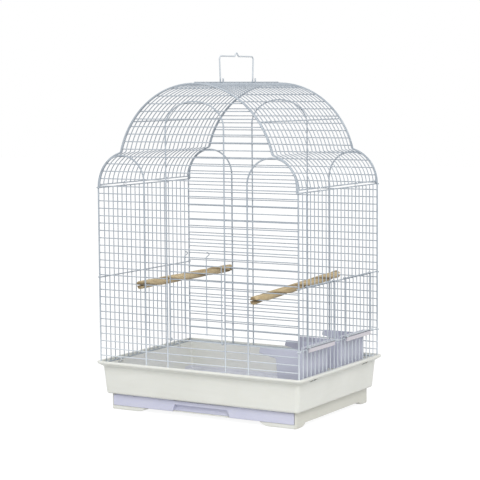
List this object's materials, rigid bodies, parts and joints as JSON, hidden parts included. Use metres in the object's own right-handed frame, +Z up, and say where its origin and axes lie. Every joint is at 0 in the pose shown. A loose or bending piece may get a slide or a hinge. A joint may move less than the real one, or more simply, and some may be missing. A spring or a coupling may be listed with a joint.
{
  "type": "pagoda parrot cage",
  "caption": "Wire bird cage with a three-lobed roof on a plastic tray, with a pull-out drawer, drop-down door, winged feeder cups, perches and a folding handle.",
  "frame": {"origin": "centre of the footprint, on the floor under the feet", "axes": "+Z up, -Y to the front with the drawer and the front door, +X to the side with the feeder cups"},
  "size_m": [0.4688, 0.3488, 0.7081],
  "materials": {
    "wire_coat": "glossy powder coat",
    "tray_plastic": "moulded, semi-gloss",
    "lavender_plastic": "moulded, semi-gloss",
    "perch_wood": "turned, bare",
    "spring_wire": "zinc-plated"
  },
  "bodies": {
    "cage": {"base_tray": "tray_plastic", "front_panel": "wire_coat", "back_panel": "wire_coat", "left_side_panel": "wire_coat", "right_side_panel": "wire_coat", "roof_panel": "wire_coat", "perch_left": "perch_wood", "perch_right": "perch_wood", "eave_clip_left_front": "spring_wire", "eave_clip_left_rear": "spring_wire", "eave_clip_right_front": "spring_wire", "eave_clip_right_rear": "spring_wire", "tray_clip_left_front": "spring_wire", "tray_clip_left_rear": "spring_wire", "tray_clip_right_front": "spring_wire", "tray_clip_right_rear": "spring_wire"},
    "drawer": {"drawer": "lavender_plastic"},
    "front_door": {"front_door": "wire_coat"},
    "carry_handle": {"carry_handle": "wire_coat"},
    "feeder_cup_front": {"feeder_cup_front": "lavender_plastic"},
    "feeder_door_front": {"feeder_door_front": "wire_coat"},
    "feeder_cup_rear": {"feeder_cup_rear": "lavender_plastic"},
    "feeder_door_rear": {"feeder_door_rear": "wire_coat"}
  },
  "joints": [
    {"name": "drawer_slide", "type": "slide", "parent": "cage", "child": "drawer", "axis": [0, -1, 0], "range_m": [0, 0.25]},
    {"name": "front_door_swing", "type": "hinge", "parent": "cage", "child": "front_door", "pos_m": [0, -0.16244, 0.1532], "axis": [1, 0, 0], "range_deg": [0, 130]},
    {"name": "handle_swing", "type": "hinge", "parent": "cage", "child": "carry_handle", "pos_m": [0, 0, 0.64916], "axis": [0, 1, 0], "range_deg": [-90, 90]},
    {"name": "cup_front_lift", "type": "slide", "parent": "cage", "child": "feeder_cup_front", "axis": [0, 0, 1], "range_m": [0, 0.062]},
    {"name": "feeder_door_front_lift", "type": "slide", "parent": "feeder_cup_front", "child": "feeder_door_front", "axis": [0, 0, 1], "range_m": [0, 0.1]},
    {"name": "cup_rear_lift", "type": "slide", "parent": "cage", "child": "feeder_cup_rear", "axis": [0, 0, 1], "range_m": [0, 0.062]},
    {"name": "feeder_door_rear_lift", "type": "slide", "parent": "feeder_cup_rear", "child": "feeder_door_rear", "axis": [0, 0, 1], "range_m": [0, 0.1]}
  ]
}
